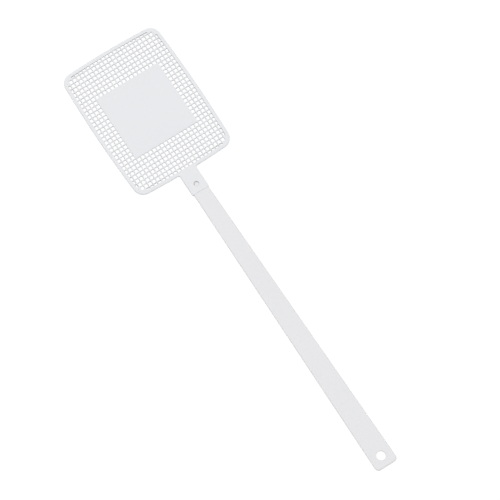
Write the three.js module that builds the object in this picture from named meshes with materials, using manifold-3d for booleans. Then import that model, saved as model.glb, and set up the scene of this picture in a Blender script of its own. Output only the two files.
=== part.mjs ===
// Fly swatter: a moulded mesh head with a flat socket, and a flat handle that snaps into it.
//
// Millimetres, +Z up. The swatter lies face up on the back of its socket, which is on Z = 0, and
// its front is nearly flush all over. +Y runs from the hanging hole to the far end of the head,
// and the origin is under the middle of its length.

import * as THREE from "three";
import { mergeVertices } from "three/addons/utils/BufferGeometryUtils.js";
import Module from "manifold-3d";

// Head: a rounded rectangle whose four sides bow outwards
const HEAD_WIDTH = 101.4;
const HEAD_LENGTH = 132;
const HEAD_SIDE_RADIUS = 1100;
const HEAD_END_RADIUS = 750;
const HEAD_CORNER_RADIUS = 10;
const RIM_WIDTH = 3.3;
const RIM_THICKNESS = 2.2;

// Mesh: square holes on a square grid, with a plain panel in place of the middle cells
const CELL = 4;
const BAR_WIDTH = 1.05;
const MESH_THICKNESS = 2;
const MESH_BELOW_RIM_FRONT = 0.05;
const MESH_COLUMNS = 24;
const MESH_ROWS = 32;
const PANEL_CELLS = 16;

// Socket: a flat sleeve on the head, open towards the handle, with a round window on its face
const SOCKET_LENGTH = 21.5;
const SOCKET_WIDTH = 17;
const SOCKET_THICKNESS = 3.6;
const SOCKET_SIDE_WALL = 1.25;
const SOCKET_BACK_WALL = 0.85;
const SOCKET_FRONT_WALL = 0.6;
const SOCKET_MOUTH_RADIUS = 1;
const SOCKET_FILLET = 1.75;
const SOCKET_RAMP_START = 6;
const SOCKET_RAMP_END = 1.5;
const POCKET_DEPTH = 15.3;
const WINDOW_RADIUS = 2.3;
const WINDOW_FROM_MOUTH = 7.6;

// Handle: a flat strip that widens towards its end, where the hanging hole is
const HANDLE_LENGTH = 292.8;
const HANDLE_WIDTH_AT_SOCKET = 15.3;
const HANDLE_WIDTH_AT_END = 21.8;
const HANDLE_THICKNESS = 2;
const HANDLE_BELOW_SOCKET_FRONT = 0.1;
const HANDLE_CORNER_RADIUS = 4;
const HANDLE_EDGE = 0.6;
const HANG_HOLE_RADIUS = 4.1;
const HANG_HOLE_FROM_END = 10.5;
const HANGING_END_LENGTH = 25;

// Tongue: the stepped end of the handle inside the socket
const SHOULDER_GAP = 0.1;
const TONGUE_SIDE_CLEARANCE = 0.1;
const TONGUE_FACE_CLEARANCE = 0.05;
const TONGUE_LENGTH = 15;
const TONGUE_TIP_CHAMFER = 1.5;

// Snap finger: a springy strip cut free of the tongue, with its root at the tongue's tip. Its nub
// catches in the window, and leaves a crescent of the window open on the side it slopes down to.
const FINGER_ROOT_FROM_MOUTH = 13.2;
const FINGER_WIDTH = 5.6;
const FINGER_THICKNESS = 0.7;
const FINGER_SIDE_SLOT = 0.8;
const FINGER_TIP_SLOT = 1;
const NUB_HEIGHT = 0.5;
const NUB_LOW_HEIGHT = 0.15;
const NUB_RAMP_LENGTH = 0.5;
const NUB_CLEARANCE = 0.1;
const CRESCENT_WIDTH = 1.3;

// Places and sizes that follow from those above
const TOTAL_LENGTH = HEAD_LENGTH + SOCKET_LENGTH + HANDLE_LENGTH;
const HEAD_CENTRE_Y = TOTAL_LENGTH / 2 - HEAD_LENGTH / 2;
const MOUTH_Y = HANDLE_LENGTH - TOTAL_LENGTH / 2;
const MOUTH_FROM_HEAD_CENTRE = MOUTH_Y - HEAD_CENTRE_Y;
const RIM_TOP = SOCKET_THICKNESS;
const RIM_BOTTOM = RIM_TOP - RIM_THICKNESS;
const MESH_TOP = RIM_TOP - MESH_BELOW_RIM_FRONT;
const MESH_BOTTOM = MESH_TOP - MESH_THICKNESS;
const HANDLE_TOP = SOCKET_THICKNESS - HANDLE_BELOW_SOCKET_FRONT;
const HANDLE_BOTTOM = HANDLE_TOP - HANDLE_THICKNESS;
const POCKET_WIDTH = SOCKET_WIDTH - 2 * SOCKET_SIDE_WALL;
const POCKET_TOP = SOCKET_THICKNESS - SOCKET_FRONT_WALL;
const TONGUE_WIDTH = POCKET_WIDTH - 2 * TONGUE_SIDE_CLEARANCE;
const TONGUE_BOTTOM = SOCKET_BACK_WALL + TONGUE_FACE_CLEARANCE;
const TONGUE_TOP = POCKET_TOP - TONGUE_FACE_CLEARANCE;
const FINGER_BOTTOM = TONGUE_TOP - FINGER_THICKNESS;
const WINDOW_FROM_FINGER_ROOT = FINGER_ROOT_FROM_MOUTH - WINDOW_FROM_MOUTH;
const FINGER_LENGTH = WINDOW_FROM_FINGER_ROOT + FINGER_WIDTH / 2;

// How finely round shapes are divided, and how far a cutting shape runs past what it cuts
const ARC_STEPS = 12;
const ROUND_STEPS = 32;
const PAST = 5;

const HEAD_COLOUR = 0xe9eaec;
const HANDLE_COLOUR = 0xe7e7ea;
const PLASTIC_ROUGHNESS = 0.42;

const wasm = await Module();
wasm.setup();

function solidFrom(geometry) {
  const bare = geometry.clone();
  bare.deleteAttribute("normal");
  bare.deleteAttribute("uv");
  const welded = mergeVertices(bare);
  return new wasm.Manifold(new wasm.Mesh({
    numProp: 3,
    vertProperties: welded.attributes.position.array,
    triVerts: Uint32Array.from(welded.index.array),
  }));
}

function meshFrom(name, solid, colour) {
  const { vertProperties, triVerts } = solid.getMesh();
  const shared = new THREE.BufferGeometry();
  shared.setAttribute("position", new THREE.BufferAttribute(vertProperties, 3));
  shared.setIndex(new THREE.BufferAttribute(triVerts, 1));
  const flatShaded = shared.toNonIndexed();
  flatShaded.computeVertexNormals();
  const material = new THREE.MeshStandardMaterial({
    color: colour,
    roughness: PLASTIC_ROUGHNESS,
    metalness: 0,
  });
  const mesh = new THREE.Mesh(flatShaded, material);
  mesh.name = name;
  return mesh;
}

// The points of an arc, without its last one, where the next stretch of the outline begins
function arc(x, y, radius, from, to, steps = ARC_STEPS) {
  return Array.from({ length: steps }, (_, step) => {
    const angle = from + ((to - from) * step) / steps;
    return new THREE.Vector2(x + radius * Math.cos(angle), y + radius * Math.sin(angle));
  });
}

function circle(x, y, radius) {
  return arc(x, y, radius, 0, 2 * Math.PI, ROUND_STEPS);
}

function rectangle(left, right, near, far) {
  return new THREE.Shape([
    new THREE.Vector2(left, near),
    new THREE.Vector2(right, near),
    new THREE.Vector2(right, far),
    new THREE.Vector2(left, far),
  ]);
}

// A plate with the given plan, or several plates from a list of plans
function plate(plan, bottom, top) {
  const geometry = new THREE.ExtrudeGeometry(plan, { depth: top - bottom, bevelEnabled: false });
  return solidFrom(geometry.translate(0, 0, bottom));
}

function chamferedPlate(plan, bottom, top, edge) {
  const geometry = new THREE.ExtrudeGeometry(plan, {
    depth: top - bottom - 2 * edge,
    bevelThickness: edge,
    bevelSize: edge,
    bevelOffset: -edge,
    bevelSegments: 1,
  });
  return solidFrom(geometry.translate(0, 0, bottom + edge));
}

function block(width, near, far, bottom, top) {
  const geometry = new THREE.BoxGeometry(width, far - near, top - bottom);
  return solidFrom(geometry.translate(0, (near + far) / 2, (bottom + top) / 2));
}

// A bar along X whose end face is a list of [Y, Z] corners
function barAlongX(corners, width) {
  const endFace = new THREE.Shape(corners.map(([y, z]) => new THREE.Vector2(y, z)));
  const geometry = new THREE.ExtrudeGeometry(endFace, { depth: width, bevelEnabled: false });
  const endFaceToYZ = new THREE.Matrix4().makeBasis(
    new THREE.Vector3(0, 1, 0),
    new THREE.Vector3(0, 0, 1),
    new THREE.Vector3(1, 0, 0),
  );
  return solidFrom(geometry.applyMatrix4(endFaceToYZ).translate(-width / 2, 0, 0));
}

// The head's sides and ends are arcs about points on its own axes. Each corner arc meets a side
// arc and an end arc smoothly, so its centre lies where two circles about those points cross.
const sideCentreX = HEAD_WIDTH / 2 - HEAD_SIDE_RADIUS;
const endCentreY = HEAD_LENGTH / 2 - HEAD_END_RADIUS;
const cornerCentre = cornerArcCentre();

function cornerArcCentre() {
  const sideReach = HEAD_SIDE_RADIUS - HEAD_CORNER_RADIUS;
  const endReach = HEAD_END_RADIUS - HEAD_CORNER_RADIUS;
  const fromSide = new THREE.Vector2(-sideCentreX, endCentreY);
  const apart = fromSide.length();
  const along = (sideReach ** 2 - endReach ** 2 + apart ** 2) / (2 * apart);
  const across = Math.sqrt(sideReach ** 2 - along ** 2);
  const direction = fromSide.normalize();
  return new THREE.Vector2(
    sideCentreX + along * direction.x - across * direction.y,
    along * direction.y + across * direction.x,
  );
}

// The head's outline, or one that runs a given distance inside it
function headOutline(inset) {
  const sideAngle = Math.atan2(cornerCentre.y, cornerCentre.x - sideCentreX);
  const endAngle = Math.atan2(cornerCentre.y - endCentreY, cornerCentre.x);
  const cornerRadius = HEAD_CORNER_RADIUS - inset;
  const half = [
    [sideCentreX, 0, HEAD_SIDE_RADIUS - inset, -sideAngle, sideAngle],
    [cornerCentre.x, cornerCentre.y, cornerRadius, sideAngle, endAngle],
    [0, endCentreY, HEAD_END_RADIUS - inset, endAngle, Math.PI - endAngle],
    [-cornerCentre.x, cornerCentre.y, cornerRadius, Math.PI - endAngle, Math.PI - sideAngle],
  ];
  const otherHalf = half.map(([x, y, radius, from, to]) => [-x, -y, radius, from + Math.PI, to + Math.PI]);
  return [...half, ...otherHalf].flatMap((stretch) => arc(...stretch));
}

function headRim() {
  const ring = new THREE.Shape(headOutline(0));
  ring.holes.push(new THREE.Path(headOutline(RIM_WIDTH)));
  return plate(ring, RIM_BOTTOM, RIM_TOP);
}

// No hole is moulded where its middle would lie beyond the rim's inner corner
function isBeyondCorner(x, y) {
  const past = new THREE.Vector2(Math.abs(x) - cornerCentre.x, Math.abs(y) - cornerCentre.y);
  return past.x > 0 && past.y > 0 && past.length() > HEAD_CORNER_RADIUS - RIM_WIDTH;
}

function isOnPanel(x, y) {
  const halfPanel = (PANEL_CELLS * CELL) / 2;
  return Math.abs(x) < halfPanel && Math.abs(y) < halfPanel;
}

function meshHoles() {
  const reach = (CELL - BAR_WIDTH) / 2;
  const holes = [];
  for (let column = 0; column < MESH_COLUMNS; column += 1) {
    for (let row = 0; row < MESH_ROWS; row += 1) {
      const x = (column - (MESH_COLUMNS - 1) / 2) * CELL;
      const y = (row - (MESH_ROWS - 1) / 2) * CELL;
      if (isOnPanel(x, y) || isBeyondCorner(x, y)) continue;
      holes.push(rectangle(x - reach, x + reach, y - reach, y + reach));
    }
  }
  return plate(holes, -PAST, MESH_TOP + PAST);
}

function printPanel() {
  const half = (PANEL_CELLS * CELL + BAR_WIDTH) / 2;
  return plate(rectangle(-half, half, -half, half), MESH_BOTTOM, MESH_TOP);
}

function meshGrid() {
  const insideRim = plate(new THREE.Shape(headOutline(RIM_WIDTH)), MESH_BOTTOM, MESH_TOP);
  return insideRim.subtract(meshHoles()).subtract(printPanel());
}

// The socket's plan: rounded corners at its mouth, and fillets that flare out to meet the rim
function socketPlan() {
  const half = SOCKET_WIDTH / 2;
  const mouth = MOUTH_FROM_HEAD_CENTRE;
  const flare = half + SOCKET_FILLET;
  const rimEdge = -(endCentreY + Math.sqrt(HEAD_END_RADIUS ** 2 - flare ** 2));
  const filletY = rimEdge - SOCKET_FILLET;
  const mouthX = half - SOCKET_MOUTH_RADIUS;
  const mouthY = mouth + SOCKET_MOUTH_RADIUS;
  const quarter = Math.PI / 2;
  return new THREE.Shape([
    ...arc(-mouthX, mouthY, SOCKET_MOUTH_RADIUS, 2 * quarter, 3 * quarter),
    ...arc(mouthX, mouthY, SOCKET_MOUTH_RADIUS, 3 * quarter, 4 * quarter),
    ...arc(flare, filletY, SOCKET_FILLET, 2 * quarter, quarter),
    new THREE.Vector2(flare, rimEdge),
    new THREE.Vector2(flare, rimEdge + RIM_WIDTH / 2),
    new THREE.Vector2(-flare, rimEdge + RIM_WIDTH / 2),
    ...arc(-flare, filletY, SOCKET_FILLET, quarter, 0),
    new THREE.Vector2(-half, filletY),
  ]);
}

// The socket from its side: flush with the rim in front, and with a ramp up to the rim's back
function socketSide() {
  const rimY = -HEAD_LENGTH / 2;
  return barAlongX(
    [
      [MOUTH_FROM_HEAD_CENTRE - PAST, 0],
      [rimY - SOCKET_RAMP_START, 0],
      [rimY - SOCKET_RAMP_END, RIM_BOTTOM],
      [rimY + PAST, RIM_BOTTOM],
      [rimY + PAST, SOCKET_THICKNESS],
      [MOUTH_FROM_HEAD_CENTRE - PAST, SOCKET_THICKNESS],
    ],
    2 * SOCKET_WIDTH,
  );
}

function neckSocket() {
  const mouth = MOUTH_FROM_HEAD_CENTRE;
  const pocket = block(POCKET_WIDTH, mouth - PAST, mouth + POCKET_DEPTH, SOCKET_BACK_WALL, POCKET_TOP);
  const windowPlan = new THREE.Shape(circle(0, mouth + WINDOW_FROM_MOUTH, WINDOW_RADIUS));
  const windowCut = plate(windowPlan, TONGUE_BOTTOM, SOCKET_THICKNESS + PAST);
  const insideHeadOutline = plate(new THREE.Shape(headOutline(0)), -PAST, SOCKET_THICKNESS + PAST);
  return plate(socketPlan(), 0, SOCKET_THICKNESS)
    .intersect(socketSide())
    .subtract(pocket)
    .subtract(windowCut)
    .subtract(insideHeadOutline);
}

// The handle's pieces are built about the middle of the socket's mouth, with the hole at -Y.
// The blade runs past the shoulder here, so that its chamfers do too when it is cut there.
function handleBlade() {
  const far = PAST;
  const near = -HANDLE_LENGTH;
  const halfAtFar = HANDLE_WIDTH_AT_SOCKET / 2;
  const cornerX = HANDLE_WIDTH_AT_END / 2 - HANDLE_CORNER_RADIUS;
  const cornerY = near + HANDLE_CORNER_RADIUS;
  const plan = new THREE.Shape([
    new THREE.Vector2(-halfAtFar, far),
    ...arc(-cornerX, cornerY, HANDLE_CORNER_RADIUS, Math.PI, 1.5 * Math.PI),
    ...arc(cornerX, cornerY, HANDLE_CORNER_RADIUS, 1.5 * Math.PI, 2 * Math.PI),
    new THREE.Vector2(cornerX + HANDLE_CORNER_RADIUS, cornerY),
    new THREE.Vector2(halfAtFar, far),
  ]);
  plan.holes.push(new THREE.Path(circle(0, near + HANG_HOLE_FROM_END, HANG_HOLE_RADIUS)));
  return chamferedPlate(plan, HANDLE_BOTTOM, HANDLE_TOP, HANDLE_EDGE);
}

function lengthOfBlade(near, far) {
  return handleBlade().intersect(
    block(2 * HANDLE_WIDTH_AT_END, near, far, HANDLE_BOTTOM - PAST, HANDLE_TOP + PAST),
  );
}

// A strip that starts square at its root and ends in a half circle, with the root at Y = 0
function roundTippedPlan(length, width) {
  const radius = width / 2;
  return new THREE.Shape([
    new THREE.Vector2(-radius, 0),
    new THREE.Vector2(radius, 0),
    ...arc(0, length - radius, radius, 0, Math.PI),
    new THREE.Vector2(-radius, length - radius),
  ]);
}

function handleTongue() {
  const half = TONGUE_WIDTH / 2;
  const tip = TONGUE_LENGTH - SHOULDER_GAP;
  const plan = new THREE.Shape([
    new THREE.Vector2(-half, -SHOULDER_GAP),
    new THREE.Vector2(half, -SHOULDER_GAP),
    new THREE.Vector2(half, tip - TONGUE_TIP_CHAMFER),
    new THREE.Vector2(half - TONGUE_TIP_CHAMFER, tip),
    new THREE.Vector2(TONGUE_TIP_CHAMFER - half, tip),
    new THREE.Vector2(-half, tip - TONGUE_TIP_CHAMFER),
  ]);
  const slotPlan = roundTippedPlan(FINGER_LENGTH + FINGER_TIP_SLOT, FINGER_WIDTH + 2 * FINGER_SIDE_SLOT);
  const slot = plate(slotPlan, -PAST, TONGUE_TOP + PAST)
    .rotate([0, 0, 180])
    .translate([0, FINGER_ROOT_FROM_MOUTH, 0]);
  return plate(plan, TONGUE_BOTTOM, TONGUE_TOP).subtract(slot);
}

// The finger is built about its root's lower edge, where it bends, with its tip towards +Y
function snapFinger() {
  const nubRadius = WINDOW_RADIUS - NUB_CLEARANCE;
  const nubTop = FINGER_THICKNESS + NUB_HEIGHT;
  const nubStart = WINDOW_FROM_FINGER_ROOT - nubRadius + CRESCENT_WIDTH;
  const nubSide = barAlongX(
    [
      [nubStart, 0],
      [FINGER_LENGTH, 0],
      [FINGER_LENGTH, nubTop],
      [nubStart + NUB_RAMP_LENGTH, nubTop],
      [nubStart, FINGER_THICKNESS + NUB_LOW_HEIGHT],
    ],
    2 * FINGER_WIDTH,
  );
  const insideWindow = new THREE.Shape(circle(0, WINDOW_FROM_FINGER_ROOT, nubRadius));
  const pastCrescent = new THREE.Shape(circle(0, WINDOW_FROM_FINGER_ROOT + CRESCENT_WIDTH, nubRadius));
  const nub = nubSide.intersect(plate(insideWindow, 0, nubTop)).intersect(plate(pastCrescent, 0, nubTop));
  return plate(roundTippedPlan(FINGER_LENGTH, FINGER_WIDTH), 0, FINGER_THICKNESS).add(nub);
}

const head = new THREE.Group();
head.position.y = HEAD_CENTRE_Y;
head.add(
  meshFrom("head_rim", headRim(), HEAD_COLOUR),
  meshFrom("mesh_grid", meshGrid(), HEAD_COLOUR),
  meshFrom("print_panel", printPanel(), HEAD_COLOUR),
  meshFrom("neck_socket", neckSocket(), HEAD_COLOUR),
);

const hangingEndFar = HANGING_END_LENGTH - HANDLE_LENGTH;
const finger = meshFrom("snap_finger", snapFinger(), HANDLE_COLOUR);
finger.position.set(0, FINGER_ROOT_FROM_MOUTH, FINGER_BOTTOM);
finger.rotation.z = Math.PI;

const handle = new THREE.Group();
handle.position.y = MOUTH_Y;
handle.add(
  meshFrom("hanging_end", lengthOfBlade(-HANDLE_LENGTH - PAST, hangingEndFar), HANDLE_COLOUR),
  meshFrom("handle_strip", lengthOfBlade(hangingEndFar, -SHOULDER_GAP), HANDLE_COLOUR),
  meshFrom("handle_tongue", handleTongue(), HANDLE_COLOUR),
  finger,
);

const flySwatter = new THREE.Group();
flySwatter.add(head, handle);

export default flySwatter;
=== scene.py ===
"""Looks of the fly swatter: a mesh head and a flat handle, both moulded in white polypropylene,
and the snap finger that holds them together. Metres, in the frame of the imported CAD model."""

import math

import bpy
import numpy as np
from mathutils import Matrix, Vector


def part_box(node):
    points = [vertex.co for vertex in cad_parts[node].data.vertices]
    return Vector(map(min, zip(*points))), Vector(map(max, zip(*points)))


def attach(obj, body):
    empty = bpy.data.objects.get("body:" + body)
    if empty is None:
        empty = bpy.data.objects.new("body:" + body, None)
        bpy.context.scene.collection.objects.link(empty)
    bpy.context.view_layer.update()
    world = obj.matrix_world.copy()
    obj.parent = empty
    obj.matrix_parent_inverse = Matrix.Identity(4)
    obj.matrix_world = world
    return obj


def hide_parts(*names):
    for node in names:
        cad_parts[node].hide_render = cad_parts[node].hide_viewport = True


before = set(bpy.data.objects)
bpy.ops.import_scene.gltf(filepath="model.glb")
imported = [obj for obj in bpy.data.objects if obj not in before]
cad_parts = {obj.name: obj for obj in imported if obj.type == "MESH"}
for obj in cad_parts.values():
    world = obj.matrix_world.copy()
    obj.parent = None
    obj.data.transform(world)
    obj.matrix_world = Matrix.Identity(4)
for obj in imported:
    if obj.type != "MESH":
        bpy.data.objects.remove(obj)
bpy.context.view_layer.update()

MM = 0.001

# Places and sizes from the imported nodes
rim_low, rim_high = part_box("head_rim")
grid_low, grid_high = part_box("mesh_grid")
panel_low, panel_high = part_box("print_panel")
socket_low, socket_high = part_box("neck_socket")
strip_low, strip_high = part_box("handle_strip")
end_low, end_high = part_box("hanging_end")
tongue_low, tongue_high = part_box("handle_tongue")
finger_low, finger_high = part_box("snap_finger")

HEAD_CENTRE_Y = (rim_low.y + rim_high.y) / 2
HEAD_HALF_WIDTH = rim_high.x
HEAD_HALF_LENGTH = (rim_high.y - rim_low.y) / 2
RIM_THICKNESS = rim_high.z - rim_low.z
RIM_WIDTH = rim_high.x - grid_high.x
MOUTH_Y = socket_low.y

# Head outline: four bowed sides and round corners, as in the CAD model
HEAD_SIDE_RADIUS = 1100 * MM
HEAD_END_RADIUS = 750 * MM
HEAD_CORNER_RADIUS = 10 * MM

# Mesh cells
CELL = 4 * MM
MESH_COLUMNS = 24
MESH_ROWS = 32
HOLE_CORNER_RADIUS = 0.15 * MM
PANEL_CELLS = round((panel_high.x - panel_low.x) / CELL)
BAR_WIDTH = (panel_high.x - panel_low.x) - PANEL_CELLS * CELL

# Socket and snap
SOCKET_FILLET = 1.75 * MM
SOCKET_HALF_WIDTH = socket_high.x - SOCKET_FILLET
SOCKET_MOUTH_RADIUS = 1 * MM
FLARE_RUN_ON = 1.5 * MM
FLARE_SINK = 0.15 * MM
SOCKET_RAMP_START = 6 * MM
SOCKET_RAMP_END = 1.5 * MM
POCKET_DEPTH = 15.3 * MM
POCKET_CLEARANCE = 0.1 * MM
POCKET_FACE_CLEARANCE = 0.05 * MM
WINDOW_RADIUS = 2.3 * MM
WINDOW_FROM_MOUTH = 7.6 * MM
WINDOW_Y = MOUTH_Y + WINDOW_FROM_MOUTH

# Handle
HANDLE_CORNER_RADIUS = 4 * MM
SHOULDER_GAP = 0.005 * MM
HANG_HOLE_RADIUS = 4.1 * MM
HANG_HOLE_FROM_END = 10.5 * MM
HANG_HOLE_Y = end_low.y + HANG_HOLE_FROM_END
TONGUE_TIP_CHAMFER = 1.5 * MM
TONGUE_OVERLAP = 0.05 * MM
FINGER_SIDE_SLOT = 0.8 * MM
FINGER_TIP_SLOT = 1 * MM
FINGER_THICKNESS = 0.7 * MM
FINGER_FACE_Z = finger_low.z + FINGER_THICKNESS
NUB_LOW_HEIGHT = 0.15 * MM
NUB_RAMP_LENGTH = 0.5 * MM
NUB_CLEARANCE = 0.03 * MM
NUB_RADIUS = WINDOW_RADIUS - NUB_CLEARANCE
NUB_OVERLAP = 0.4 * MM
CRESCENT_WIDTH = 1.3 * MM

# Radii of the back and front edges, shares of them where an edge is sharper or rounder, and how
# far moulded walls lean in from their parting line
RIM_ROUNDING = (0.7 * MM, 0.9 * MM)
RIM_INNER_ROUNDING = (0.15 * MM, 0.15 * MM)
HANDLE_ROUNDING = (0.8 * MM, 1.0 * MM)
HANDLE_END_EXTRA_SHARE = 0.3
SLEEVE_ROUNDING_SHARE = 0.3
MOUTH_ROUNDING_SHARE = 0.12
TONGUE_ROUNDING = (0.25 * MM, 0.25 * MM)
BAR_ROUNDING = 0.3 * MM
HOLE_ROUNDING = 0.4 * MM
WALL_DRAFT = 0.04 * MM

ARC_STEPS = 16
STRAIGHT_STEPS = 64
FILLET_STEPS = 10
EDGE_STEPS = 5
HOLE_STEPS = 3
CIRCLE_STEPS = 64
PAST = 3 * MM
SMOOTH_ANGLE = math.radians(38)


# ---------------------------------------------------------------- meshes from rings of points


def mesh_object(name, points, faces):
    mesh = bpy.data.meshes.new(name)
    mesh.from_pydata([tuple(p) for p in points], [], faces)
    obj = bpy.data.objects.new(name, mesh)
    bpy.context.scene.collection.objects.link(obj)
    return obj


def wall_faces(rings, points, joined=False):
    """Quads between each ring and the next, and from the last to the first if they are joined."""
    faces = []
    for ring in range(rings if joined else rings - 1):
        here, above = ring * points, (ring + 1) % rings * points
        for i in range(points):
            j = (i + 1) % points
            faces.append((here + i, here + j, above + j, above + i))
    return faces


def arc(x, y, radius, start, end, steps=ARC_STEPS):
    """Points along an arc, both ends included."""
    turn = np.linspace(start, end, steps + 1)
    return np.column_stack((x + radius * np.cos(turn), y + radius * np.sin(turn)))


def inset_outline(outline, inset):
    """An anticlockwise outline with its sides moved inwards. inset is one distance, or one for
    each point."""
    before = outline - np.roll(outline, 1, axis=0)
    after = np.roll(outline, -1, axis=0) - outline
    normals = []
    for side in (before, after):
        length = np.hypot(side[:, 0], side[:, 1])
        normals.append(np.column_stack((-side[:, 1], side[:, 0])) / length[:, None])
    towards = normals[0] + normals[1]
    reach = 1 + np.sum(normals[0] * normals[1], axis=1)
    return outline + towards * (inset / reach)[:, None]


def edge_profile(bottom, top, rounding, draft=0.0, steps=EDGE_STEPS):
    """(inset, height) pairs up a plate's side, from the back face's edge to the front face's.
    Both edges are round, and the wall leans in by draft from a parting line halfway up."""
    low_radius, high_radius = rounding
    turns = np.linspace(0, math.pi / 2, steps + 1)
    low = [
        (draft + low_radius * (1 - math.sin(turn)), bottom + low_radius * (1 - math.cos(turn)))
        for turn in turns
    ]
    high = [
        (draft + high_radius * (1 - math.cos(turn)), top - high_radius * (1 - math.sin(turn)))
        for turn in turns
    ]
    return [*low, (0.0, (bottom + top) / 2), *high]


def straight_profile(bottom, top):
    return [(0.0, bottom), (0.0, top)]


def symmetric_plate(name, right_side, profile, thickness_at=None, rounding_at=None):
    """A plate whose plan is right_side and its mirror image in X = 0. right_side runs towards +Y.
    thickness_at and rounding_at give the shares of the full thickness, below a level front face,
    and of the full edge rounding that the plate has at a place along Y."""
    right = np.array(right_side, float)
    left = right[::-1] * (-1, 1)
    outline = np.vstack((right, left))
    count, half = len(outline), len(right)
    thickness, rounding = (
        np.array([share(y) if share else 1.0 for y in outline[:, 1]])
        for share in (thickness_at, rounding_at)
    )
    front = profile[-1][1]
    rings = [
        np.column_stack((
            inset_outline(outline, inset * rounding),
            front - (front - height) * thickness,
        ))
        for inset, height in profile
    ]
    faces = wall_faces(len(rings), count)
    last = (len(rings) - 1) * count
    for i in range(half - 1):
        mirrored = count - 1 - i
        strip = (i, i + 1, mirrored - 1, mirrored)
        faces.append(tuple(last + k for k in strip))
        faces.append(strip[::-1])
    return mesh_object(name, np.vstack(rings), faces)


def turned_cutter(x, y, profile):
    """A round cutting tool on a vertical axis. profile is (radius, height) from bottom to top."""
    circle = arc(0, 0, 1, 0, 2 * math.pi, CIRCLE_STEPS)[:-1]
    rings = [
        np.column_stack((circle * radius + (x, y), np.full(CIRCLE_STEPS, height)))
        for radius, height in profile
    ]
    faces = wall_faces(len(rings), CIRCLE_STEPS)
    last = (len(rings) - 1) * CIRCLE_STEPS
    faces.append(tuple(range(CIRCLE_STEPS))[::-1])
    faces.append(tuple(last + i for i in range(CIRCLE_STEPS)))
    return mesh_object("cutter", np.vstack(rings), faces)


def bar_along_x(end_face, width):
    """A bar along X whose end face is a list of (y, z) corners, anticlockwise seen from +X."""
    rings = [[(x, y, z) for y, z in end_face] for x in (-width / 2, width / 2)]
    count = len(end_face)
    caps = [tuple(range(count))[::-1], tuple(range(count, 2 * count))]
    return mesh_object("bar", np.vstack(rings), wall_faces(2, count) + caps)


def combine(target, tool, operation):
    """Joins tool to target, cuts it away, or keeps what they share. tool is used up."""
    modifier = target.modifiers.new(operation, "BOOLEAN")
    modifier.operation = operation
    modifier.solver = "MANIFOLD"
    modifier.object = tool
    evaluated = target.evaluated_get(bpy.context.evaluated_depsgraph_get())
    mesh = bpy.data.meshes.new_from_object(evaluated)
    target.modifiers.clear()
    before = target.data
    target.data = mesh
    bpy.data.meshes.remove(before)
    bpy.data.objects.remove(tool)
    mesh.materials.clear()
    mesh.name = target.name
    return target


def shade(obj):
    """Smooth round edges, with flat faces kept flat."""
    obj.data.shade_smooth()
    obj.data.set_sharp_from_angle(angle=SMOOTH_ANGLE)
    modifier = obj.modifiers.new("weighted_normals", "WEIGHTED_NORMAL")
    modifier.keep_sharp = True
    return obj


# ---------------------------------------------------------------- head moulding


def corner_centre():
    """Where a head corner's arc is centred, so that it runs smoothly into a side and an end."""
    side_centre_x = HEAD_HALF_WIDTH - HEAD_SIDE_RADIUS
    end_centre_y = HEAD_HALF_LENGTH - HEAD_END_RADIUS
    side_reach = HEAD_SIDE_RADIUS - HEAD_CORNER_RADIUS
    end_reach = HEAD_END_RADIUS - HEAD_CORNER_RADIUS
    between = Vector((-side_centre_x, end_centre_y))
    apart = between.length
    along = (side_reach**2 - end_reach**2 + apart**2) / (2 * apart)
    across = math.sqrt(side_reach**2 - along**2)
    direction = between.normalized()
    x = side_centre_x + along * direction.x - across * direction.y
    y = along * direction.y + across * direction.x
    return x, y


def head_outline(inset):
    """The head's outline about its own centre, or one that runs a given distance inside it."""
    side_centre_x = HEAD_HALF_WIDTH - HEAD_SIDE_RADIUS
    end_centre_y = HEAD_HALF_LENGTH - HEAD_END_RADIUS
    corner_x, corner_y = corner_centre()
    side_angle = math.atan2(corner_y, corner_x - side_centre_x)
    end_angle = math.atan2(corner_y - end_centre_y, corner_x)
    corner_radius = HEAD_CORNER_RADIUS - inset
    half = [
        (side_centre_x, 0, HEAD_SIDE_RADIUS - inset, -side_angle, side_angle),
        (corner_x, corner_y, corner_radius, side_angle, end_angle),
        (0, end_centre_y, HEAD_END_RADIUS - inset, end_angle, math.pi - end_angle),
        (-corner_x, corner_y, corner_radius, math.pi - end_angle, math.pi - side_angle),
    ]
    stretches = [arc(*stretch)[:-1] for stretch in half]
    points = np.vstack(stretches)
    return np.vstack((points, -points))


def in_head(outline, height):
    """A plan about the head's centre as a ring of points at one height."""
    return np.column_stack((outline + (0, HEAD_CENTRE_Y), np.full(len(outline), height)))


def head_rim():
    outer = edge_profile(rim_low.z, rim_high.z, RIM_ROUNDING, WALL_DRAFT)
    inner_edge = edge_profile(rim_low.z, rim_high.z, RIM_INNER_ROUNDING, WALL_DRAFT)
    inner = [(RIM_WIDTH - inset, height) for inset, height in reversed(inner_edge)]
    rings = [in_head(head_outline(inset), height) for inset, height in outer + inner]
    faces = wall_faces(len(rings), len(rings[0]), joined=True)
    return mesh_object("head_moulding", np.vstack(rings), faces)


def inside_rim():
    """A block whose sides run down the middle of the rim, to trim what ends in the rim."""
    outline = head_outline(RIM_WIDTH / 2)
    rings = [in_head(outline, height) for height in (rim_low.z - PAST, rim_high.z + PAST)]
    count = len(outline)
    caps = [tuple(range(count))[::-1], tuple(range(count, 2 * count))]
    return mesh_object("inside_rim", np.vstack(rings), wall_faces(2, count) + caps)


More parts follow.
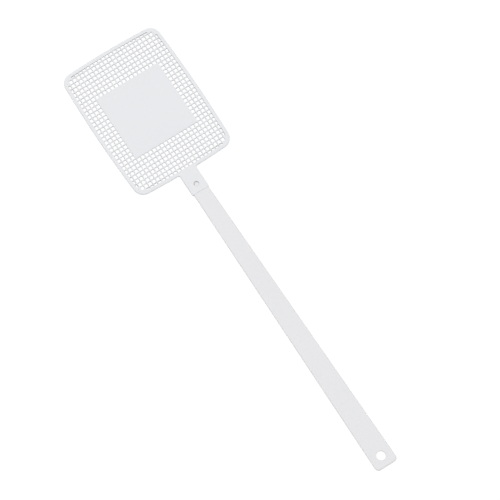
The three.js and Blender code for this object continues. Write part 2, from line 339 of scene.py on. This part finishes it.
def has_hole(column, row):
    """Cells under the print panel and past the rim's inner corners are solid."""
    x = abs(column - (MESH_COLUMNS - 1) / 2) * CELL
    y = abs(row - (MESH_ROWS - 1) / 2) * CELL
    half_panel = PANEL_CELLS * CELL / 2
    if x < half_panel and y < half_panel:
        return False
    corner_x, corner_y = corner_centre()
    past_x, past_y = x - corner_x, y - corner_y
    past_corner = math.hypot(past_x, past_y) > HEAD_CORNER_RADIUS - RIM_WIDTH
    return not (past_x > 0 and past_y > 0 and past_corner)


def hole_rings():
    """A mesh hole's rings from the front face to the back, about the hole's centre."""
    rounding = (BAR_ROUNDING, BAR_ROUNDING)
    profile = edge_profile(grid_low.z, grid_high.z, rounding, WALL_DRAFT, HOLE_STEPS)
    middle = (CELL - BAR_WIDTH) / 2 - HOLE_CORNER_RADIUS
    corners = [(middle, middle), (-middle, middle), (-middle, -middle), (middle, -middle)]
    rings = []
    for inset, height in reversed(profile):
        arcs = [
            arc(x, y, HOLE_CORNER_RADIUS + inset, k * math.pi / 2, (k + 1) * math.pi / 2, HOLE_STEPS)
            for k, (x, y) in enumerate(corners)
        ]
        outline = np.vstack(arcs)
        rings.append(np.column_stack((outline, np.full(len(outline), height))))
    return np.array(rings)


class MeshPlate:
    """The mesh and its panel as one plate of square cells, with a ring of faces round each hole."""

    def __init__(self):
        self.points = []
        self.faces = []
        self.rings = hole_rings()
        self.add_corners()
        for column in range(MESH_COLUMNS):
            for row in range(MESH_ROWS):
                self.add_cell(column, row)
        self.add_sides()

    def add_corners(self):
        """The corners of all cells, each on the front and on the back."""
        for column in range(MESH_COLUMNS + 1):
            for row in range(MESH_ROWS + 1):
                x = (column - MESH_COLUMNS / 2) * CELL
                y = (row - MESH_ROWS / 2) * CELL + HEAD_CENTRE_Y
                self.points += [(x, y, grid_high.z), (x, y, grid_low.z)]

    def corner(self, column, row, back=False):
        return 2 * (column * (MESH_ROWS + 1) + row) + back

    def cell_corners(self, column, row, back=False):
        """A cell's corners, anticlockwise from the one at +X +Y."""
        places = ((1, 1), (0, 1), (0, 0), (1, 0))
        return [self.corner(column + x, row + y, back) for x, y in places]

    def add_cell(self, column, row):
        front = self.cell_corners(column, row)
        back = self.cell_corners(column, row, back=True)
        if not has_hole(column, row):
            self.faces += [tuple(front), tuple(back[::-1])]
            return
        x = (column - (MESH_COLUMNS - 1) / 2) * CELL
        y = (row - (MESH_ROWS - 1) / 2) * CELL + HEAD_CENTRE_Y
        first = len(self.points)
        ring_count, count = self.rings.shape[:2]
        self.points += [tuple(p) for p in (self.rings + (x, y, 0)).reshape(-1, 3)]
        self.faces += [
            tuple(first + i for i in face) for face in wall_faces(ring_count, count)
        ]
        self.add_face_round_hole(front, first, count, back=False)
        self.add_face_round_hole(back, first + (ring_count - 1) * count, count, back=True)

    def add_face_round_hole(self, corners, first, count, back):
        """Fans at a cell's corners and quads along its sides, from the cell's edge to a ring."""
        per_corner = count // 4
        for k in range(4):
            start = first + k * per_corner
            around = [
                (corners[k], start + i + 1, start + i)
                for i in range(per_corner - 1)
            ]
            following = first + (k + 1) % 4 * per_corner
            side = (corners[k], corners[(k + 1) % 4], following, start + per_corner - 1)
            for face in [*around, side]:
                self.faces.append(face[::-1] if back else face)

    def add_sides(self):
        """The plate's own four sides, round its edge anticlockwise."""
        columns, rows = MESH_COLUMNS, MESH_ROWS
        edge = [(column, 0) for column in range(columns)]
        edge += [(columns, row) for row in range(rows)]
        edge += [(column, rows) for column in range(columns, 0, -1)]
        edge += [(0, row) for row in range(rows, 0, -1)]
        for here, there in zip(edge, edge[1:] + edge[:1]):
            self.faces.append((
                self.corner(*here, back=True),
                self.corner(*there, back=True),
                self.corner(*there),
                self.corner(*here),
            ))


def mesh_and_panel():
    plate = MeshPlate()
    return combine(mesh_object("mesh_and_panel", plate.points, plate.faces), inside_rim(), "INTERSECT")


def smooth_step(y, start, end):
    """0 before start, 1 after end, and a smooth curve between them."""
    done = min(max((y - start) / (end - start), 0), 1)
    return done * done * (3 - 2 * done)


def sleeve_thickness(y):
    """The whole thickness along the sleeve, with a smooth ramp at the back up to the rim's."""
    at_rim = RIM_THICKNESS / socket_high.z
    ramp = smooth_step(y, rim_low.y - SOCKET_RAMP_START, rim_low.y - SOCKET_RAMP_END)
    return 1 + (at_rim - 1) * ramp


def sleeve_rounding(y):
    """The share of the rim's edge rounding: least at the mouth, and all of it next to the rim."""
    away_from_mouth = smooth_step(y, MOUTH_Y, MOUTH_Y + SOCKET_MOUTH_RADIUS)
    into_rim = smooth_step(y, rim_low.y - SOCKET_RAMP_START, rim_low.y - SOCKET_FILLET)
    sleeve = MOUTH_ROUNDING_SHARE + (SLEEVE_ROUNDING_SHARE - MOUTH_ROUNDING_SHARE) * away_from_mouth
    return sleeve + (1 - SLEEVE_ROUNDING_SHARE) * into_rim


def socket_sleeve():
    """The sleeve's right side from its mouth to its fillet, a little way along the rim as it
    sinks into that, and on into the middle of the rim."""
    fillet_x = SOCKET_HALF_WIDTH + SOCKET_FILLET
    fillet_y = socket_high.y - SOCKET_FILLET
    corner_x = SOCKET_HALF_WIDTH - SOCKET_MOUTH_RADIUS
    corner_y = MOUTH_Y + SOCKET_MOUTH_RADIUS
    straight_y = np.linspace(corner_y, fillet_y, STRAIGHT_STEPS)[1:-1]
    right_side = np.vstack((
        arc(corner_x, corner_y, SOCKET_MOUTH_RADIUS, -math.pi / 2, 0, EDGE_STEPS),
        np.column_stack((np.full(len(straight_y), SOCKET_HALF_WIDTH), straight_y)),
        arc(fillet_x, fillet_y, SOCKET_FILLET, math.pi, math.pi / 2, FILLET_STEPS),
        [(fillet_x + FLARE_RUN_ON, socket_high.y + FLARE_SINK)],
        [(fillet_x + FLARE_RUN_ON, rim_low.y + RIM_WIDTH - RIM_ROUNDING[1])],
    ))
    profile = edge_profile(0, socket_high.z, RIM_ROUNDING, WALL_DRAFT)
    return symmetric_plate("socket", right_side, profile, sleeve_thickness, sleeve_rounding)


def socket_pocket():
    half = tongue_high.x + POCKET_CLEARANCE
    right_side = [(half, MOUTH_Y - PAST), (half, MOUTH_Y + POCKET_DEPTH)]
    bottom = tongue_low.z - POCKET_FACE_CLEARANCE
    top = tongue_high.z + POCKET_FACE_CLEARANCE
    return symmetric_plate("pocket", right_side, straight_profile(bottom, top))


def rounded_hole_profile(radius, bottom, top, rounding):
    """The (radius, height) profile of a through hole whose two rims are round."""
    side = edge_profile(bottom, top, (rounding, rounding), WALL_DRAFT)
    wall = [(radius + inset, height) for inset, height in side]
    return [(wall[0][0], bottom - PAST), *wall, (wall[-1][0], top + PAST)]


def snap_window():
    """The hole through the socket's front wall, which starts halfway up the tongue's pocket."""
    middle = (tongue_low.z + tongue_high.z) / 2
    full = rounded_hole_profile(WINDOW_RADIUS, middle, socket_high.z, HOLE_ROUNDING / 2)
    above_middle = [(WINDOW_RADIUS, middle)] + [p for p in full if p[1] > middle + HOLE_ROUNDING]
    return turned_cutter(0, WINDOW_Y, above_middle)


def head_moulding():
    head = combine(head_rim(), mesh_and_panel(), "UNION")
    combine(head, socket_sleeve(), "UNION")
    combine(head, socket_pocket(), "DIFFERENCE")
    combine(head, snap_window(), "DIFFERENCE")
    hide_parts("head_rim", "mesh_grid", "print_panel", "neck_socket")
    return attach(shade(head), "head")


# ---------------------------------------------------------------- handle moulding


def handle_rounding(y):
    """The edge is rounder still round the hanging end."""
    return 1 + HANDLE_END_EXTRA_SHARE * (1 - smooth_step(y, end_low.y, end_low.y + HANDLE_CORNER_RADIUS))


def handle_blade():
    """The flat strip, made too long and then cut off square where it meets the socket."""
    corner_x = end_high.x - HANDLE_CORNER_RADIUS
    corner_y = end_low.y + HANDLE_CORNER_RADIUS
    taper = (end_high.x - strip_high.x) / (strip_low.y - corner_y)
    far_y = MOUTH_Y + PAST
    right_side = np.vstack((
        arc(corner_x, corner_y, HANDLE_CORNER_RADIUS, -math.pi / 2, 0),
        [(end_high.x - taper * (far_y - corner_y), far_y)],
    ))
    profile = edge_profile(strip_low.z, strip_high.z, HANDLE_ROUNDING, WALL_DRAFT)
    blade = symmetric_plate("handle_moulding", right_side, profile, rounding_at=handle_rounding)
    beyond = [(end_high.x, MOUTH_Y - SHOULDER_GAP), (end_high.x, far_y + PAST)]
    cutter = symmetric_plate("beyond", beyond, straight_profile(-PAST, strip_high.z + PAST))
    return combine(blade, cutter, "DIFFERENCE")


def handle_tongue():
    half = tongue_high.x
    right_side = [
        (half, MOUTH_Y - TONGUE_OVERLAP),
        (half, tongue_high.y - TONGUE_TIP_CHAMFER),
        (half - TONGUE_TIP_CHAMFER, tongue_high.y),
    ]
    profile = edge_profile(tongue_low.z, tongue_high.z, TONGUE_ROUNDING)
    return symmetric_plate("tongue", right_side, profile)


def round_tipped(tip_y, root_y, half_width):
    """The right side of a strip with a round tip towards -Y, which starts just off the middle."""
    tip_arc = arc(0, tip_y + half_width, half_width, -math.pi / 2, 0)[1:]
    return np.vstack((tip_arc, [(half_width, root_y)]))


def finger_slot():
    right_side = round_tipped(
        finger_low.y - FINGER_TIP_SLOT, finger_high.y, finger_high.x + FINGER_SIDE_SLOT
    )
    return symmetric_plate("slot", right_side, straight_profile(-PAST, strip_high.z + PAST))


def hanging_hole():
    profile = rounded_hole_profile(HANG_HOLE_RADIUS, end_low.z, end_high.z, HOLE_ROUNDING)
    return turned_cutter(0, HANG_HOLE_Y, profile)


def handle_moulding():
    handle = combine(handle_blade(), handle_tongue(), "UNION")
    combine(handle, finger_slot(), "DIFFERENCE")
    combine(handle, hanging_hole(), "DIFFERENCE")
    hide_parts("handle_strip", "hanging_end", "handle_tongue")
    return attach(shade(handle), "handle")


def nub():
    """What two equal circles share, with the crescent left open between their far sides, and
    then cut down to a lead-in ramp next to the crescent."""
    column = [(NUB_RADIUS, height) for height in (FINGER_FACE_Z - NUB_OVERLAP, finger_high.z)]
    body = turned_cutter(0, WINDOW_Y, column)
    combine(body, turned_cutter(0, WINDOW_Y - CRESCENT_WIDTH, column), "INTERSECT")
    low_y = WINDOW_Y + NUB_RADIUS - CRESCENT_WIDTH
    low_z = FINGER_FACE_Z + NUB_LOW_HEIGHT
    steepness = (finger_high.z - low_z) / NUB_RAMP_LENGTH
    over_ramp = [
        (low_y - PAST, low_z + steepness * PAST),
        (low_y + PAST, low_z - steepness * PAST),
        (low_y + PAST, low_z + steepness * PAST),
    ]
    return combine(body, bar_along_x(over_ramp, 2 * NUB_RADIUS), "DIFFERENCE")


def snap_finger():
    """A springy strip with a nub, which fills most of the snap window."""
    plan = round_tipped(finger_low.y, finger_high.y, finger_high.x)
    finger = symmetric_plate("snap_finger_spring", plan, straight_profile(finger_low.z, FINGER_FACE_Z))
    combine(finger, nub(), "UNION")
    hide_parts("snap_finger")
    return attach(shade(finger), "snap_finger")


# ---------------------------------------------------------------- materials


class Nodes:
    """A short way to add and link shader nodes."""

    def __init__(self, tree):
        self.tree = tree
        tree.nodes.clear()

    def add(self, kind, inputs=None, **settings):
        node = self.tree.nodes.new(kind)
        for key, value in settings.items():
            setattr(node, key, value)
        for key, value in (inputs or {}).items():
            if isinstance(value, bpy.types.NodeSocket):
                self.tree.links.new(value, node.inputs[key])
            else:
                node.inputs[key].default_value = value
        return node

    def mix(self, factor, first, second):
        """A mix of two colours. Either may be a colour or another node's socket."""
        node = self.add("ShaderNodeMix", {"Factor": factor}, data_type="RGBA")
        for name, value in (("A", first), ("B", second)):
            socket = next(s for s in node.inputs if s.enabled and s.name == name)
            if isinstance(value, bpy.types.NodeSocket):
                self.tree.links.new(value, socket)
            else:
                socket.default_value = (*value, 1)
        return next(s for s in node.outputs if s.enabled)

    def noise(self, place, scale, detail=2.0, roughness=0.5):
        return self.add(
            "ShaderNodeTexNoise",
            {"Vector": place, "Scale": scale, "Detail": detail, "Roughness": roughness},
        ).outputs["Fac"]

    def ranged(self, value, start, end, low, high):
        """value taken over from the range start to end into the range low to high."""
        return self.add(
            "ShaderNodeMapRange",
            {"Value": value, "From Min": start, "From Max": end, "To Min": low, "To Max": high},
        ).outputs["Result"]

    def bump(self, height, depth, strength, below=None):
        """A bumped normal, on top of another one if that is given."""
        node = self.add("ShaderNodeBump", {"Height": height, "Distance": depth, "Strength": strength})
        if below:
            self.tree.links.new(below, node.inputs["Normal"])
        return node.outputs["Normal"]


# Each moulding's two whites, and how far painted shade darkens the hollows of each piece
HEAD_COLOURS = ((0.724, 0.733, 0.753), (0.714, 0.722, 0.741))
HANDLE_COLOURS = ((0.726, 0.726, 0.741), (0.716, 0.716, 0.731))
HEAD_TEXTURE_DEPTH = 0.01 * MM
HANDLE_TEXTURE_DEPTH = 0.006 * MM
HEAD_PAINTED_SHADE = 0.6
HANDLE_PAINTED_SHADE = 0.2
FINGER_PAINTED_SHADE = 0.35

# Noise scales, per metre
TONE_SCALE = 14
GLOSS_PATCH_SCALE = 45
SCRATCH_SCALE = (900, 14, 900)
WAVE_SCALE = 38
GRAIN_SCALE = 3600

# The middle of one noise's values, and of two added, is spread over the whole of a range
NOISE_MIDDLE = (0.25, 0.75)
TWO_NOISES_MIDDLE = (0.7, 1.3)

ROUGHNESS_RANGE = (0.36, 0.52)
WAVE_DEPTH = 0.05 * MM
WAVE_STRENGTH = 0.6
GRAIN_STRENGTH = 0.5
PLASTIC_IOR = 1.49
SCATTER_WEIGHT = 0.03
SCATTER_RADIUS = (0.9, 0.85, 0.8)

# Painted shade darkens hollows where surfaces within reach leave less than the unshaded openness of sky
# free
PAINTED_SHADE_COLOUR = (0.1, 0.1, 0.1)
PAINTED_SHADE_REACH = 2 * MM
DARKEST_SHADE_OPENNESS = 0.61
UNSHADED_OPENNESS = 0.85
OPENNESS_SAMPLES = 8


def gloss(nodes, place):
    """Roughness with broad patches, and hairline scratches along the length."""
    patches = nodes.noise(place, GLOSS_PATCH_SCALE, detail=4, roughness=0.6)
    along = nodes.add("ShaderNodeMapping", {"Vector": place, "Scale": SCRATCH_SCALE})
    scratches = nodes.noise(along.outputs["Vector"], 1.0, detail=4, roughness=0.65)
    both = nodes.add("ShaderNodeMath", {0: patches, 1: scratches}, operation="ADD")
    return nodes.ranged(both.outputs["Value"], *TWO_NOISES_MIDDLE, *ROUGHNESS_RANGE)


def relief(nodes, place, texture_depth):
    """Slow waviness from uneven cooling under the fine texture of an eroded mould."""
    waves = nodes.bump(nodes.noise(place, WAVE_SCALE, detail=1), WAVE_DEPTH, WAVE_STRENGTH)
    return nodes.bump(nodes.noise(place, GRAIN_SCALE), texture_depth, GRAIN_STRENGTH, waves)


def painted_shade(nodes, most):
    """Painted shade: how far the colour darkens, not at all in the open, and at the most in narrow
    hollows.
    """
    openness = nodes.add(
        "ShaderNodeAmbientOcclusion",
        {"Distance": PAINTED_SHADE_REACH},
        samples=OPENNESS_SAMPLES,
        only_local=False,
    )
    return nodes.ranged(openness.outputs["AO"], DARKEST_SHADE_OPENNESS, UNSHADED_OPENNESS, most, 0.0)


def polypropylene(name, colours, texture_depth, most_painted_shade):
    """White moulded plastic, whose tone drifts slightly between two colours."""
    material = bpy.data.materials.new(name)
    material.use_nodes = True
    nodes = Nodes(material.node_tree)
    place = nodes.add("ShaderNodeTexCoord").outputs["Object"]
    tone = nodes.ranged(nodes.noise(place, TONE_SCALE, detail=3), *NOISE_MIDDLE, 0, 1)
    unshaded = nodes.mix(tone, *colours)
    # The base colour is darkened in narrow hollows by painted shade
    shader = nodes.add(
        "ShaderNodeBsdfPrincipled",
        {
            "Base Color": nodes.mix(painted_shade(nodes, most_painted_shade), unshaded, PAINTED_SHADE_COLOUR),
            "Roughness": gloss(nodes, place),
            "Normal": relief(nodes, place, texture_depth),
            "IOR": PLASTIC_IOR,
            "Subsurface Weight": SCATTER_WEIGHT,
            "Subsurface Radius": SCATTER_RADIUS,
            "Subsurface Scale": MM,
        },
    )
    nodes.add("ShaderNodeOutputMaterial", {"Surface": shader.outputs["BSDF"]})
    return material


def head_plastic():
    return polypropylene("head_polypropylene", HEAD_COLOURS, HEAD_TEXTURE_DEPTH, HEAD_PAINTED_SHADE)


def handle_plastic():
    return polypropylene("handle_polypropylene", HANDLE_COLOURS, HANDLE_TEXTURE_DEPTH, HANDLE_PAINTED_SHADE)


def finger_plastic():
    """The handle's plastic, with more painted shade because it lies inside the socket."""
    return polypropylene("snap_polypropylene", HANDLE_COLOURS, HANDLE_TEXTURE_DEPTH, FINGER_PAINTED_SHADE)


# ---------------------------------------------------------------- studio

CAMERA_LENS = 259.2
CAMERA_SENSOR = 36
CAMERA_DISTANCE = 3.1323
CAMERA_ELEVATION = math.radians(72.857)
CAMERA_AZIMUTH = math.radians(-42.884)
CAMERA_ROLL = math.radians(9.98)
CAMERA_TARGET = Vector((6.44, 1.61, 2.5)) * MM
CAMERA_CLIP_START = 0.1
CAMERA_CLIP_END = 100

WHITE = (1, 1, 1)
FLOOR_SIZE = 40
FLOOR_DROP = 0.02 * MM
FLOOR_COLOUR = (0.03, 0.03, 0.03)
FLOOR_ROUGHNESS = 0.9
FLOOR_SPECULAR = 0.1
FLOOR_GLOW = 1.0
SKY_TOP = 1.43
SKY_HORIZON = 0.1
KEY_PLACE = (0.3, 3.9, 4.0)
KEY_SIZE = 2.8
KEY_POWER = 50


def camera():
    forward = Vector((
        -math.sin(CAMERA_AZIMUTH) * math.cos(CAMERA_ELEVATION),
        math.cos(CAMERA_AZIMUTH) * math.cos(CAMERA_ELEVATION),
        -math.sin(CAMERA_ELEVATION),
    ))
    right = forward.cross(Vector((0, 0, 1))).normalized()
    upright = Matrix((right, right.cross(forward), -forward)).transposed()
    data = bpy.data.cameras.new("camera")
    data.lens = CAMERA_LENS
    data.sensor_width = CAMERA_SENSOR
    data.clip_start = CAMERA_CLIP_START
    data.clip_end = CAMERA_CLIP_END
    obj = bpy.data.objects.new("camera", data)
    turned = upright @ Matrix.Rotation(CAMERA_ROLL, 3, "Z")
    obj.matrix_world = Matrix.Translation(CAMERA_TARGET - forward * CAMERA_DISTANCE) @ turned.to_4x4()
    bpy.context.scene.collection.objects.link(obj)
    bpy.context.scene.camera = obj


def floor():
    """A table that glows evenly, so that what is seen through the mesh is as white as the rest."""
    half = FLOOR_SIZE / 2
    corners = [(-half, -half, 0), (half, -half, 0), (half, half, 0), (-half, half, 0)]
    obj = mesh_object("floor", corners, [(0, 1, 2, 3)])
    obj.location.z = -FLOOR_DROP
    material = bpy.data.materials.new("floor")
    material.use_nodes = True
    shader = material.node_tree.nodes["Principled BSDF"]
    shader.inputs["Base Color"].default_value = (*FLOOR_COLOUR, 1)
    shader.inputs["Roughness"].default_value = FLOOR_ROUGHNESS
    shader.inputs["Specular IOR Level"].default_value = FLOOR_SPECULAR
    shader.inputs["Emission Color"].default_value = (*WHITE, 1)
    shader.inputs["Emission Strength"].default_value = FLOOR_GLOW
    obj.data.materials.append(material)


def sky():
    """Soft light from all round, brightest overhead."""
    world = bpy.data.worlds.new("sky")
    bpy.context.scene.world = world
    world.use_nodes = True
    nodes = Nodes(world.node_tree)
    direction = nodes.add("ShaderNodeTexCoord").outputs["Generated"]
    parts = nodes.add("ShaderNodeSeparateXYZ", {"Vector": direction})
    strength = nodes.ranged(parts.outputs["Z"], 0, 1, SKY_HORIZON, SKY_TOP)
    background = nodes.add(
        "ShaderNodeBackground", {"Color": (*WHITE, 1), "Strength": strength}
    )
    nodes.add("ShaderNodeOutputWorld", {"Surface": background.outputs["Background"]})


def softbox(name, place, size, power):
    data = bpy.data.lights.new(name, "AREA")
    data.shape = "SQUARE"
    data.size = size
    data.energy = power
    obj = bpy.data.objects.new(name, data)
    obj.location = place
    obj.rotation_euler = (-Vector(place)).to_track_quat("-Z", "Y").to_euler()
    bpy.context.scene.collection.objects.link(obj)


camera()
floor()
sky()
softbox("key_softbox", KEY_PLACE, KEY_SIZE, KEY_POWER)
bpy.context.scene.view_settings.view_transform = "Standard"

head_moulding().data.materials.append(head_plastic())
handle_moulding().data.materials.append(handle_plastic())
snap_finger().data.materials.append(finger_plastic())
